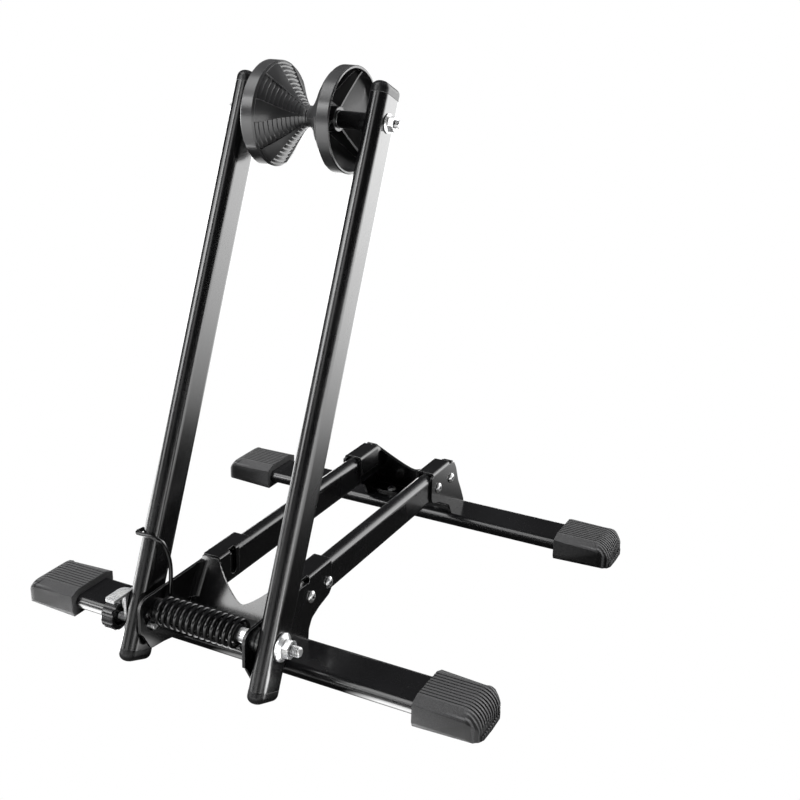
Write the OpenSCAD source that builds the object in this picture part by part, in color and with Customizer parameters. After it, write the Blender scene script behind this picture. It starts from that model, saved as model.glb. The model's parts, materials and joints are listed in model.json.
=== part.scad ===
// Floor stand that holds a bicycle upright by its front wheel.
// A low frame of oval tube lies on four rubber feet. A sprung pair of uprights
// swings on a bolt through the front bracket and carries two grooved rollers.
// Millimetres, +X along the cross bars, +Y along the rails, +Z up, floor at zero.

/* [Frame] */
// Distance between the middles of the two cross bars
bar_spacing = 292; // [250:1:340]
// Length of each cross bar tube
bar_length = 392; // [340:2:460]
// Width of the flat oval cross bars
bar_width = 42; // [38:0.5:48]
// Thickness of the cross bars
bar_thick = 11.5; // [9:0.5:14]
// Height of the underside of the cross bars above the floor
bar_lift = 5; // [4:0.5:9]
// Height of the oval rails, which stand on edge
rail_high = 30; // [24:0.5:32]
// Thickness of the rails
rail_thick = 13; // [10:0.5:14]
// Wall of all the tubes
tube_wall = 1.5; // [1:0.1:2]

/* [Brackets] */
// Height of the folded top edges of both brackets
bracket_top = 73; // [70:0.5:78]
// Distance between the outer faces of the side plates
bracket_width = 92.4; // [90:0.2:98]
// Thickness of the bracket sheet
plate = 2.2; // [1.6:0.1:2.5]
// Half width of the tyre cut-out in the front wall
front_saddle_half = 31; // [26:0.5:32]
// Depth of that cut-out along the sloping wall
front_saddle_deep = 29.8; // [24:0.2:31]
// Half width of the dip in the rear wall
rear_saddle_half = 36; // [30:0.5:37]
// Depth of that dip along the leaning wall
rear_saddle_deep = 27; // [20:0.5:28]
// Lean of the front wall from upright, in degrees
front_lean = 31.8; // [28:0.1:34]
// Lean of the rear wall from upright, in degrees
rear_lean = 28.7; // [26:0.1:30]

/* [Swinging frame] */
// Distance of the swing bolt in front of the front bar's middle
pivot_ahead = 52.6; // [50:0.1:55]
// Height of the swing bolt above the floor
pivot_high = 53; // [51:0.1:55]
// Lean of the uprights at rest, in degrees
tilt = 22.7; // [15:0.1:26]
// Distance between the swing bolt and the roller bolt
arm_reach = 376.5; // [300:0.5:420]
// Width of the oval uprights
upright_width = 30; // [27:0.5:31]
// Thickness of the uprights
upright_thick = 14; // [12:0.5:16]
// Gap between a side plate and the upright beside it
side_gap = 3; // [2.9:0.1:4]

/* [Rollers] */
// Radius of a roller's rim
roller_r = 38.3; // [34:0.1:40]
// Radius of the waist between the rollers
waist_r = 12.3; // [12:0.1:14]
// Half width of the pair of rollers
roller_half = 36; // [34:0.2:40]
// Width of a roller's plain rim band
rim_band = 9.5; // [8:0.1:11]
// Number of stepped panels on a roller
panel_count = 6; // [4:1:8]
// Number of webs in a roller's open back
web_count = 3; // [3:1:6]
// Number of steps in a panel
step_count = 10; // [8:1:12]

/* [Feet] */
// Length of a rubber foot along the bar
foot_long = 52; // [46:0.5:60]
// Width of a foot
foot_wide = 50.6; // [46:0.2:56]
// Height of a foot
foot_high = 22.6; // [20:0.2:25]
// Length of bar that sits in a foot
foot_grip = 43; // [34:0.5:45]
// Number of grip grooves on a foot
groove_count = 9; // [5:2:9]

/* [Spring] */
// Thickness of the spring wire
wire = 3.2; // [2.6:0.1:3.4]
// Radius to the middle of the wire in the coil
coil_r = 10.2; // [10.2:0.1:11]
// Length of the coil between the middles of its end turns
coil_long = 70.5; // [60:0.5:71]
// Number of turns in the coil
coil_turns = 13.25; // [11.25:1:14.25]

/* [Knob] */
// Diameter of the knob's grip
knob_d = 23; // [22:0.5:24]
// Number of grip flutes round the knob
flute_count = 12; // [9:1:13]
// Distance from the swing bolt down to the knob's stud
stud_drop = 13; // [13:0.1:14]
// Diameter of the knob's stud
stud_d = 6; // [5:0.5:6]

/* [Hidden] */
$fn = 64;
overrun = 1;
corner_steps = 5;
curve_steps = 12;
slot_steps = 20;
fillet_steps = 9;
run_gap = 0.08;
clear_gap = 0.3;
plate_out = bracket_width / 2;
plate_in = plate_out - plate;
rail_in = plate_in - rail_thick;
cheek_in = rail_in - plate;
rail_mid = rail_in + rail_thick / 2;
rail_top = bracket_top - plate;
rail_axis = rail_top - rail_high / 2;
bar_axis = bar_lift + bar_thick / 2;
bar_top = bar_lift + bar_thick;
upright_in = plate_out + side_gap;
upright_out = upright_in + upright_thick;
slope_front = tan(front_lean);
slope_rear = tan(rear_lean);

// Caps on the ends of the uprights
cap_shell = 9;
cap_round = 5.5;
cap_steps = 8;
cap_plug = 10;
top_stub = 18.5;
bottom_stub = 32.5;

// The part's own middle along Y, so that the origin is below the middle of its box
front_reach = pivot_ahead + bottom_stub * sin(tilt) + (cap_shell - cap_round) * sin(tilt)
    + (upright_width / 2 - cap_round) * cos(tilt) + cap_round;
rear_reach = bar_spacing + foot_wide / 2;
y_shift = (front_reach - rear_reach) / 2;

// Outline of a front side plate, as shares of the bracket's height
front_plate_shares = [[-1.007, 0.932], [-1.007, 0.575], [-0.970, 0.540], [-0.856, 0.338],
    [-0.658, 0.315], [-0.507, 0.284], [-0.315, 0.185], [0.170, 0.185], [0.189, 0.382],
    [0.251, 0.482], [0.395, 0.541], [0.605, 0.593], [0.651, 0.637], [0.651, 0.955],
    [0.205, 0.955], [0.190, 0.895], [0.165, 0.932]];
front_plate_round_shares = [0.110, 0.020, 0.030, 0.060, 0.060, 0.060, 0, 0, 0.080,
    0.080, 0.080, 0.060, 0.010, 0, 0.015, 0.020, 0.015];
// Outline of a rear side plate, measured from the rear bar's middle
rear_plate_shares = [[-0.836, 0.955], [-0.836, 0.671], [-0.795, 0.603], [-0.603, 0.544],
    [-0.278, 0.370], [-0.178, 0.185], [0.211, 0.185], [0.178, 0.288], [0.096, 0.438],
    [-0.021, 0.625], [-0.110, 0.842], [-0.178, 0.938], [-0.240, 0.955]];
rear_plate_round_shares = [0.010, 0.030, 0.060, 0.080, 0.080, 0, 0, 0.060, 0.060,
    0.060, 0.060, 0.030, 0.040];
// Handles of the curves of the two tyre cut-outs
front_saddle_shares = [[0, 0], [0.19, 0], [0.81, 0.59], [1, 1]];
rear_saddle_shares = [[0, 0], [0.17, 0], [0.61, 0.52], [1, 1]];

// Folded tops of the side plates
fold_outer = 3;
fold_inner = 0.8;
front_fold_start = 14.5;
front_fold_end = 47.5;
front_lip_start = 6;
cheek_low = 49;
cheek_end = 32;
slot_r = 4;
slot_at = 24;
slot_low = 51;
rear_fold_start = -58;
rear_fold_end = -24;
rear_cheek_low = 54;
wall_apron = 42.5;
wall_front = 5.5;
corner_fillet = 8;
fillet_sink = 0.15;
rear_wall_top = 70;
rear_edge_y = -13;
rear_edge_z = 68.5;
sole_deep = 21;
rail_front = 8;

// Screws, inserts and their places
screw_d = 5;
screw_long = 12;
screw_head_d = 9.5;
screw_head = 2.3;
screw_socket = 3;
screw_socket_deep = 1.4;
insert_d = 7;
insert_long = 9;
front_screw_shares = [[0.229, 0.742], [0.589, 0.740]];
rear_screw_shares = [[-0.651, 0.758], [-0.270, 0.749]];
front_screw_places = front_screw_shares * bracket_top;
rear_screw_places = rear_screw_shares * bracket_top;
bar_screw_x = 25;
pan_head_d = 9;
pan_head = 2.6;

// Swing bolt and what it carries
pivot_d = 8;
pivot_end = 79;
pivot_hex = 13;
pivot_head = 5.3;
pivot_flange_d = 21;
pivot_flange = 2.4;
pivot_nut_high = 8.3;
sleeve_d = 11;
bush_d = 12;
washer_d = 18;
washer_thick = 1.5;
spring_seat_d = 16.4;
spring_seat = 2;
spring_liner_d = 14.4;

// Roller bolt and what it carries
top_d = 6;
top_end = 73;
top_hex = 10;
top_head = 4;
top_flange_d = 14.2;
top_flange = 1.2;
top_nut_high = 6;
top_washer_d = 12;
spacer_d = 12.5;

// Roller details
roller_gap = 0.3;
dish_sag = 2.5;
shell = 4.5;
hub_r = 9;
hub_end = 24;
roller_bush_d = 13;
roller_bush_end = 25;
web_thick = 1.8;
web_hub_x = 22.5;
web_rim_x = 34;
panel_angle = 34;
panel_low_share = 0.03;
panel_high_share = 0.93;
recess_low = 1.2;
recess_high = 0.6;
rim_chamfer = 0.6;
left_turn = -16.3;
right_turn = 57.7;

// Foot details
foot_round = 15;
foot_plan_round = 11;
foot_lip = 1.6;
foot_lip_high = 4;
foot_top_share = 0.656;
foot_shoulder_share = 0.84;
foot_steps = 9;
foot_sole_share = 0.93;
groove_wide = 1.3;
groove_deep = 1.2;
groove_top_deep = 0.5;
groove_pitch = 3.5;

// Lock knob, its stud and the bracket beside it
stud_start = 43.2;
knob_start = 75;
knob_end = 86.5;
knob_rim = 1.9;
knob_hollow = 8;
knob_hub_d = 11;
knob_hub_back = 1.2;
flute_r = 1.9;
knob_chamfer = 1;
lock_leg_top = 66.5;
lock_leg_low = 46;
lock_thick = 2.2;
lock_out = 72.5;
lock_front = 26;
lock_back = 4;
lock_leg_front = 13;
lock_leg_back = 10;
lock_round = 6;
lock_hole_gap = 0.4;

// The swing of the uprights, in degrees either way from rest
swing_back = 45;
swing_forward = 64;

// Spring legs
coil_left = 40.2;
ring_steps = 8;
wire_sides = 6;
leg_cross_high = 55.5;
leg_hook_out = 2.2;
leg_hook_back = 6;

// Colours as they look
gloss_black = [0.07, 0.07, 0.075];
dark_grey = [0.22, 0.22, 0.23];
rubber_grey = [0.27, 0.27, 0.27];
zinc = [0.80, 0.81, 0.82];
spring_black = [0.10, 0.10, 0.11];

// Corner rounding and curves
function polar(r, a) = [r * cos(a), r * sin(a)];
function unit(v) = v / norm(v);
function wrap(a) = a > 180 ? a - 360 : (a < -180 ? a + 360 : a);
function corner(a, p, b, r, steps) = r == 0 ? [p] :
    let(u = unit(a - p), v = unit(b - p), half = acos(u * v) / 2)
    let(c = p + unit(u + v) * r / sin(half), s = p + u * r / tan(half), e = p + v * r / tan(half))
    let(from = atan2(s[1] - c[1], s[0] - c[0]), to = atan2(e[1] - c[1], e[0] - c[0]))
    [for (i = [0 : steps]) c + polar(r, from + wrap(to - from) * i / steps)];
function rounded(points, radii, steps = corner_steps) = [for (i = [0 : len(points) - 1])
    each corner(points[(i + len(points) - 1) % len(points)], points[i],
        points[(i + 1) % len(points)], radii[i], steps)];
// Points of an arc, its last one left to the next arc
function arc(c, r, from, to, steps) = [for (i = [0 : steps - 1])
    c + polar(r, from + (to - from) * i / steps)];
function bezier(p, t) = p[0] * pow(1 - t, 3) + p[1] * 3 * t * pow(1 - t, 2)
    + p[2] * 3 * t * t * (1 - t) + p[3] * pow(t, 3);
function stretch(points, w, h) = [for (p = points) [p[0] * w, p[1] * h]];

// Extrusions along X and Y, with Z up in both outlines
module along_x(from, to) {
    translate([from, 0, 0])
        rotate([90, 0, 90])
            linear_extrude(to - from)
                children();
}

module along_y(from, to) {
    translate([0, to, 0])
        rotate([90, 0, 0])
            linear_extrude(to - from)
                children();
}

// A round bar along X between two places
module rod(from, to, d) {
    translate([from, 0, 0])
        rotate([0, 90, 0])
            cylinder(h = to - from, d = d);
}

// A shape turned about X, from an outline of radius and place
module turned(from) {
    translate([from, 0, 0])
        rotate([0, 90, 0])
            rotate_extrude()
                children();
}

module hex_rod(from, to, across) {
    translate([from, 0, 0])
        rotate([0, 90, 0])
            cylinder(h = to - from, d = across / cos(30), $fn = 6);
}

module oval(w, t) {
    square([w - t, t], center = true);
    translate([(w - t) / 2, 0])
        circle(d = t);
    translate([(t - w) / 2, 0])
        circle(d = t);
}

module oval_ring(w, t) {
    difference() {
        oval(w, t);
        oval(w - 2 * tube_wall, t - 2 * tube_wall);
    }
}

module mirrored_x() {
    children();
    mirror([1, 0, 0])
        children();
}

// Everything sits about the middle of the part's box
module placed() {
    translate([0, y_shift, 0])
        children();
}

module at_pivot() {
    translate([0, -pivot_ahead, pivot_high])
        children();
}

module in_swing() {
    at_pivot()
        rotate([-tilt, 0, 0])
            children();
}

module at_top() {
    in_swing()
        translate([0, 0, arm_reach])
            children();
}

// Cross bars
module bar_solid() {
    translate([0, 0, bar_axis])
        along_x(-bar_length / 2, bar_length / 2)
            oval(bar_width, bar_thick);
}

module cross_bar() {
    difference() {
        translate([0, 0, bar_axis])
            along_x(-bar_length / 2, bar_length / 2)
                oval_ring(bar_width, bar_thick);
        for (x = [-bar_screw_x, bar_screw_x])
            translate([x, 0, bar_axis])
                cylinder(h = bar_thick, d = screw_d);
    }
}

module front_bar() {
    color(gloss_black) placed()
        cross_bar();
}

module rear_bar() {
    color(gloss_black) placed()
        translate([0, bar_spacing, 0])
            cross_bar();
}

// Rails, cut to the lean of the rear wall at their back end
module rail_one() {
    difference() {
        translate([rail_mid, 0, rail_axis])
            along_y(rail_front, bar_spacing)
                rotate(90)
                    oval_ring(rail_high, rail_thick);
        along_x(rail_in - overrun, plate_in + overrun)
            polygon([[rear_face_y(bracket_top) - wall_run, bracket_top],
                [rear_face_y(0) - wall_run, 0],
                [bar_spacing + bar_width + bracket_top, 0],
                [bar_spacing + bar_width + bracket_top, bracket_top]]);
        for (p = all_screw_places)
            translate([0, p[0], p[1]])
                rod(plate_in - tube_wall - overrun, plate_in + overrun, insert_d);
    }
}

module left_rail() {
    color(gloss_black) placed()
        mirror([1, 0, 0])
            rail_one();
}

module right_rail() {
    color(gloss_black) placed()
        rail_one();
}

// The leaning rear wall: its rear face at a height, and its thickness along Y
function rear_face_y(z) = bar_spacing + rear_edge_y + (rear_edge_z - z) * slope_rear;
wall_run = plate / cos(rear_lean);
all_screw_places = [each front_screw_places,
    for (p = rear_screw_places) [p[0] + bar_spacing, p[1]]];

// Folded top of a side plate: side, top and inner cheek
module fold_outline(low) {
    polygon(rounded([[plate_out, rail_axis], [plate_out, bracket_top], [cheek_in, bracket_top],
        [cheek_in, low], [rail_in, low], [rail_in, rail_top], [plate_in, rail_top],
        [plate_in, rail_axis]],
        [0, fold_outer, fold_outer, 0, 0, fold_inner, fold_inner, 0]));
}

module lip_outline() {
    polygon(rounded([[plate_in, rail_top], [plate_in, bracket_top], [cheek_in, bracket_top],
        [cheek_in, cheek_low], [rail_in, cheek_low], [rail_in, rail_top]],
        [0, 0, fold_outer, 0, 0, fold_inner]));
}

module saddle_outline(half, deep, handles) {
    curve = [for (i = [0 : curve_steps]) bezier(stretch(handles, half, deep), i / curve_steps)];
    top = [[half, deep + bracket_top], [-half, deep + bracket_top]];
    back = [for (i = [curve_steps : -1 : 1]) [-curve[i][0], curve[i][1]]];
    polygon([each curve, each top, each back]);
}

// Front bracket: two ears, a sloping wall with the tyre cut-out, folded tops over the rails
module front_bracket_half() {
    difference() {
        union() {
            along_x(plate_in, plate_out)
                polygon(rounded(front_plate_shares * bracket_top,
                    front_plate_round_shares * bracket_top));
            along_y(front_fold_start, front_fold_end)
                fold_outline(cheek_low);
            along_y(front_lip_start, front_fold_start)
                lip_outline();
        }
        at_pivot()
            rod(plate_in - overrun, plate_out + overrun, pivot_d);
        for (p = front_screw_places)
            translate([0, p[0], p[1]])
                rod(plate_in - overrun, plate_out + overrun, screw_d);
        along_x(cheek_in - overrun, rail_in + overrun)
            translate([cheek_end, 0])
                square([front_fold_end, rail_top]);
        along_x(cheek_in - overrun, rail_in + overrun / 2) {
            translate([slot_at - slot_r, slot_low + slot_r])
                square([2 * slot_r, bracket_top]);
            translate([slot_at, slot_low + slot_r])
                circle(r = slot_r);
        }
    }
}

module front_wall() {
    low = wall_front - (bracket_top - wall_apron) * slope_front;
    run = plate / cos(front_lean);
    difference() {
        union() {
            along_x(-plate_in - plate / 2, plate_in + plate / 2)
                polygon([[wall_front, bracket_top - plate], [low, wall_apron - plate],
                    [low, bar_axis], [low + plate, bar_axis], [low + plate, wall_apron - plate],
                    [wall_front + run, bracket_top - plate]]);
            along_x(-plate_in, plate_in)
                translate([low, bar_top])
                    square([sole_deep, plate]);
            wall_fillets();
        }
        translate([0, wall_front, bracket_top - plate])
            rotate([90 - front_lean, 0, 0])
                translate([0, -front_saddle_deep + plate])
                    linear_extrude(2 * bracket_top, center = true)
                        saddle_outline(front_saddle_half, front_saddle_deep, front_saddle_shares);
        for (x = [-bar_screw_x, bar_screw_x])
            translate([x, 0, bar_axis])
                cylinder(h = bar_thick, d = screw_d);
    }
}

// Rounded inner corners where the wall meets the ears
module wall_fillets() {
    mirrored_x()
        intersection() {
            translate([plate_in, wall_front, bracket_top - plate])
                rotate([-front_lean, 0, 0])
                    translate([0, 0, -bracket_top])
                        linear_extrude(bracket_top)
                            polygon([[plate / 2, plate / 2], [-corner_fillet, plate / 2],
                                each [for (i = [fillet_steps : -1 : 0])
                                    [fillet_sink - corner_fillet, fillet_sink - corner_fillet]
                                    + polar(corner_fillet, 90 * i / fillet_steps)],
                                [plate / 2, -corner_fillet]]);
            along_x(plate_in - corner_fillet, plate_in + plate / 2)
                polygon([[-pivot_ahead, wall_apron + plate], [-pivot_ahead, bracket_top - 2 * plate],
                    [wall_front, bracket_top - 2 * plate], [wall_front, wall_apron + plate]]);
        }
}

module front_bracket() {
    color(gloss_black) placed()
        difference() {
            union() {
                mirrored_x()
                    front_bracket_half();
                front_wall();
            }
            bar_solid();
            lock_slot();
            translate([0, anchor_y, coil_start[2]])
                rod(plate_in - overrun, plate_out + overrun, wire + clear_gap);
        }
}

// Arc slot in the left ear, in which the knob's stud travels
module lock_slot() {
    half = stud_d / 2 + clear_gap;
    low = 270 - tilt - swing_forward;
    high = 270 - tilt + swing_back;
    at_pivot()
        along_x(-plate_out - overrun, -plate_in + overrun)
            polygon([each arc([0, 0], stud_drop + half, low, high, slot_steps),
                each arc(polar(stud_drop, high), half, high, high + 180, slot_steps),
                each arc([0, 0], stud_drop - half, high, low, slot_steps),
                each arc(polar(stud_drop, low), half, low + 180, low + 360, slot_steps)]);
}

// Rear bracket: side plates, folded tops and a leaning wall with a dip
module rear_bracket_half() {
    difference() {
        union() {
            along_x(plate_in, plate_out)
                translate([bar_spacing, 0])
                    polygon(rounded(rear_plate_shares * bracket_top,
                        rear_plate_round_shares * bracket_top));
            along_y(bar_spacing + rear_fold_start, bar_spacing + rear_fold_end)
                fold_outline(rear_cheek_low);
        }
        for (p = rear_screw_places)
            translate([0, bar_spacing + p[0], p[1]])
                rod(plate_in - overrun, plate_out + overrun, screw_d);
    }
}

module rear_wall() {
    difference() {
        union() {
            along_x(-plate_in - plate / 2, plate_in + plate / 2)
                polygon([[rear_face_y(rear_wall_top), rear_wall_top],
                    [rear_face_y(rear_wall_top) - wall_run, rear_wall_top],
                    [rear_face_y(bar_top) - wall_run, bar_top],
                    [rear_face_y(bar_top), bar_top]]);
            along_x(-plate_in, plate_in)
                translate([rear_face_y(bar_top) - sole_deep, bar_top])
                    square([sole_deep - wall_run / 2, plate]);
        }
        translate([0, rear_face_y(rear_wall_top), rear_wall_top])
            rotate([90 + rear_lean, 0, 0])
                translate([0, -rear_saddle_deep])
                    linear_extrude(2 * bracket_top, center = true)
                        saddle_outline(rear_saddle_half, rear_saddle_deep, rear_saddle_shares);
        for (x = [-bar_screw_x, bar_screw_x])
            translate([x, bar_spacing, bar_axis])
                cylinder(h = bar_thick, d = screw_d);
    }
}

module rear_bracket() {
    color(gloss_black) placed()
        difference() {
            union() {
                mirrored_x()
                    rear_bracket_half();
                rear_wall();
            }
            translate([0, bar_spacing, 0])
                bar_solid();
        }
}

// Rubber foot for the right-hand end of a bar
module foot_side(end_cut, top_cut) {
    start = bar_length / 2 - foot_grip;
    end = start + foot_long - foot_lip - end_cut;
    top = foot_high - top_cut;
    back = start - overrun * sign(top_cut);
    polygon(rounded([[back, -end_cut], [end, -end_cut], [end, top], [back, top]],
        [0, 0, foot_round - end_cut, 0], foot_steps));
}

module foot_one() {
    start = bar_length / 2 - foot_grip;
    end = start + foot_long;
    half = foot_wide / 2;
    difference() {
        intersection() {
            along_x(start, end)
                polygon([[-half * foot_sole_share, 0], [half * foot_sole_share, 0],
                    [half, foot_lip_high], [half, foot_high * foot_shoulder_share],
                    [half * foot_top_share, foot_high], [-half * foot_top_share, foot_high],
                    [-half, foot_high * foot_shoulder_share], [-half, foot_lip_high]]);
            along_y(-half - overrun, half + overrun) {
                foot_side(0, 0);
                translate([start, 0])
                    square([foot_long, foot_lip_high]);
            }
            linear_extrude(foot_high + overrun)
                polygon(rounded([[start, -half], [end, -half], [end, half], [start, half]],
                    [0, foot_plan_round, foot_plan_round, 0], foot_steps));
        }
        translate([0, 0, bar_axis])
            along_x(start - overrun, bar_length / 2)
                oval(bar_width, bar_thick);
        for (i = [0 : groove_count - 1])
            translate([0, (i - (groove_count - 1) / 2) * groove_pitch, 0])
                along_y(-groove_wide / 2, groove_wide / 2)
                    difference() {
                        translate([start - overrun, foot_lip_high])
                            square([foot_long + 2 * overrun, foot_high]);
                        foot_side(groove_deep, groove_top_deep);
                    }
    }
}

module front_left_foot() {
    color(rubber_grey) placed()
        mirror([1, 0, 0])
            foot_one();
}

module front_right_foot() {
    color(rubber_grey) placed()
        foot_one();
}

module rear_left_foot() {
    color(rubber_grey) placed()
        translate([0, bar_spacing, 0])
            mirror([1, 0, 0])
                foot_one();
}

module rear_right_foot() {
    color(rubber_grey) placed()
        translate([0, bar_spacing, 0])
            foot_one();
}

// Button-head screw along X, its head's underside at zero and its shank towards minus X
module button_screw() {
    difference() {
        union() {
            turned(0)
                polygon([[0, 0], [screw_head_d / 2, 0], [screw_head_d / 2, screw_head * 0.25],
                    [screw_head_d * 0.44, screw_head * 0.62], [screw_head_d * 0.34, screw_head * 0.87],
                    [screw_head_d * 0.22, screw_head], [0, screw_head]]);
            rod(-screw_long, 0, screw_d);
        }
        hex_rod(screw_head - screw_socket_deep, screw_head + overrun, screw_socket);
    }
}

module plate_screws(places, y) {
    mirrored_x()
        for (p = places)
            translate([plate_out, p[0] + y, p[1]])
                button_screw();
}

module front_bracket_screws() {
    color(zinc) placed()
        plate_screws(front_screw_places, 0);
}

module rear_bracket_screws() {
    color(zinc) placed()
        plate_screws(rear_screw_places, bar_spacing);
}

module rail_inserts() {
    color(zinc) placed()
        mirrored_x()
            for (p = all_screw_places)
                translate([0, p[0], p[1]])
                    difference() {
                        rod(plate_in - insert_long, plate_in, insert_d);
                        rod(plate_in - insert_long - overrun, plate_in + overrun, screw_d);
                    }
}

module bar_screws() {
    color(zinc) placed()
        for (y = [0, bar_spacing], x = [-bar_screw_x, bar_screw_x])
            translate([x, y, bar_top + plate])
                rotate([0, -90, 0])
                    difference() {
                        union() {
                            turned(0)
                                polygon([[0, 0], [pan_head_d / 2, 0], [pan_head_d / 2, pan_head * 0.5],
                                    [pan_head_d * 0.36, pan_head], [0, pan_head]]);
                            rod(tube_wall - bar_thick, 0, screw_d);
                        }
                        hex_rod(pan_head - screw_socket_deep, pan_head + overrun, screw_socket);
                    }
}

// A hexagon with its outer corners turned away, between two places along X
module hex_body(from, to, across) {
    long = to - from;
    round = across / cos(30) / 2;
    trim = (round - across / 2) * 0.8;
    intersection() {
        hex_rod(from, to, across);
        turned(from)
            polygon([[0, 0], [round, 0], [round, long - trim], [round - trim, long], [0, long]]);
    }
}

// Flange nut that faces plus X from a place
module flange_nut(from, d, across, high, flange_d, flange) {
    difference() {
        union() {
            turned(from)
                polygon([[0, 0], [flange_d / 2, 0], [flange_d / 2, flange * 0.6],
                    [across / 2, flange * 1.6], [0, flange * 1.6]]);
            hex_body(from + flange * 0.5, from + high, across);
        }
        rod(from - overrun, from + high + overrun, d);
    }
}

module washer(from, to, outer, inner) {
    difference() {
        rod(from, to, outer);
        rod(from - overrun, to + overrun, inner);
    }
}

// Swing bolt group
lock_plate_out = upright_out + lock_thick;
head_face = lock_plate_out + clear_gap + washer_thick;

module pivot_bolt() {
    color(zinc) placed()
        at_pivot() {
            mirror([1, 0, 0])
                hex_body(head_face, head_face + pivot_head, pivot_hex);
            rod(-head_face - plate / 2, pivot_end - overrun, pivot_d);
            turned(pivot_end - overrun)
                polygon([[0, 0], [pivot_d / 2, 0], [pivot_d / 2 - overrun, overrun], [0, overrun]]);
        }
}

module pivot_nut() {
    color(zinc) placed()
        at_pivot()
            flange_nut(upright_out + clear_gap, pivot_d, pivot_hex, pivot_nut_high,
                pivot_flange_d, pivot_flange);
}

module pivot_washers() {
    color(zinc) placed()
        at_pivot() {
            mirrored_x()
                washer(plate_out, upright_in - clear_gap, washer_d, pivot_d);
            washer(-head_face, -head_face + washer_thick, washer_d, pivot_d);
        }
}

module pivot_sleeve() {
    color(zinc) placed()
        at_pivot()
            washer(-plate_in, plate_in, sleeve_d, pivot_d);
}

module spring_bush() {
    color(dark_grey) placed()
        at_pivot()
            difference() {
                union() {
                    rod(-plate_in, -plate_in + spring_seat, spring_seat_d);
                    rod(-plate_in, coil_long - coil_left - wire / 2, spring_liner_d);
                }
                rod(-plate_in - overrun, plate_in, sleeve_d);
            }
}

// Uprights
module upright_one(side) {
    in_swing()
        difference() {
            translate([side * (upright_in + upright_thick / 2), 0, -bottom_stub])
                linear_extrude(bottom_stub + arm_reach + top_stub)
                    rotate(90)
                        oval_ring(upright_width, upright_thick);
            rod(-upright_out - overrun, upright_out + overrun, bush_d);
            translate([0, 0, arm_reach])
                rod(-upright_out - overrun, upright_out + overrun, top_d);
            if (side < 0)
                translate([0, 0, -stud_drop])
                    rod(-upright_out - overrun, -upright_in + overrun, stud_d + 2 * run_gap);
        }
}

module left_upright() {
    color(gloss_black) placed()
        upright_one(-1);
}

module right_upright() {
    color(gloss_black) placed()
        upright_one(1);
}

module upright_bushes() {
    color(zinc) placed()
        at_pivot()
            mirrored_x()
                washer(upright_in, upright_out, bush_d, pivot_d + 2 * run_gap);
}

// Cap over the end of an upright, its seat at zero and its crown up
module cap_outline(from) {
    half = upright_thick / 2;
    polygon([[from * half, 0], [half, 0], each [for (i = [0 : cap_steps])
        [half - cap_round, cap_shell - cap_round] + polar(cap_round, 90 * i / cap_steps)],
        if (from < 0) each [for (i = [0 : cap_steps])
            [cap_round - half, cap_shell - cap_round] + polar(cap_round, 90 + 90 * i / cap_steps)]
        else [0, cap_shell]]);
}

module cap_body() {
    reach = (upright_width - upright_thick) / 2;
    along_y(-reach, reach)
        cap_outline(-1);
    for (a = [0, 180])
        rotate(a)
            translate([0, reach, 0])
                rotate_extrude(angle = 180)
                    cap_outline(0);
    translate([0, 0, -cap_plug])
        linear_extrude(cap_plug + overrun)
            rotate(90)
                oval(upright_width - 2 * tube_wall, upright_thick - 2 * tube_wall);
}

module cap_at(side, top) {
    in_swing()
        translate([side * (upright_in + upright_thick / 2), 0,
                top ? arm_reach + top_stub : -bottom_stub])
            rotate([top ? 0 : 180, 0, 0])
                cap_body();
}

module left_top_cap() {
    color(dark_grey) placed()
        cap_at(-1, true);
}

module right_top_cap() {
    color(dark_grey) placed()
        cap_at(1, true);
}

module left_bottom_cap() {
    color(dark_grey) placed()
        cap_at(-1, false);
}

module right_bottom_cap() {
    color(dark_grey) placed()
        cap_at(1, false);
}

// Roller bolt group
module top_bolt() {
    face = upright_out + washer_thick;
    color(zinc) placed()
        at_top() {
            mirror([1, 0, 0])
                hex_body(face, face + top_head, top_hex);
            rod(-face - plate / 2, top_end - overrun, top_d);
            turned(top_end - overrun)
                polygon([[0, 0], [top_d / 2, 0], [top_d / 2 - overrun, overrun], [0, overrun]]);
        }
}

module top_nut() {
    color(zinc) placed()
        at_top()
            flange_nut(upright_out, top_d, top_hex, top_nut_high, top_flange_d, top_flange);
}

module top_washer() {
    color(zinc) placed()
        at_top()
            washer(-upright_out - washer_thick, -upright_out, top_washer_d, top_d);
}

module roller_spacers() {
    color(gloss_black) placed()
        at_top()
            mirrored_x()
                washer(roller_bush_end + roller_gap, upright_in, spacer_d, top_d);
}

// A roller as radius and place along its axis, from the waist to the open back
dish_low = [waist_r, roller_gap];
dish_high = [roller_r, roller_half - rim_band];
dish_run = dish_high - dish_low;
dish_in = [-dish_run[1], dish_run[0]] / norm(dish_run);
function dish(t, inward) = dish_low + dish_run * t + dish_in * (4 * dish_sag * t * (1 - t) + inward);
rim_in = dish(1, shell)[0];

module roller_section() {
    polygon([[roller_bush_d / 2, roller_gap], each [for (i = [0 : curve_steps]) dish(i / curve_steps, 0)],
        [roller_r, roller_half - rim_chamfer], [roller_r - rim_chamfer, roller_half],
        [rim_in, roller_half], each [for (i = [curve_steps : -1 : 0]) dish(i / curve_steps, shell)],
        [hub_r, dish(0, shell)[1]], [hub_r, hub_end], [roller_bush_d / 2, hub_end]]);
}

module web_section() {
    polygon([each [for (i = [0 : curve_steps]) dish(i / curve_steps, shell / 2)],
        [rim_in + overrun, web_rim_x], [hub_r - overrun, web_hub_x],
        [hub_r - overrun, dish(0, shell / 2)[1]]]);
}

// Place of a step's corner in a panel
function stair(i) = dish(panel_low_share + (panel_high_share - panel_low_share) * i / step_count,
    recess_low + (recess_high - recess_low) * i / step_count);

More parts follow.
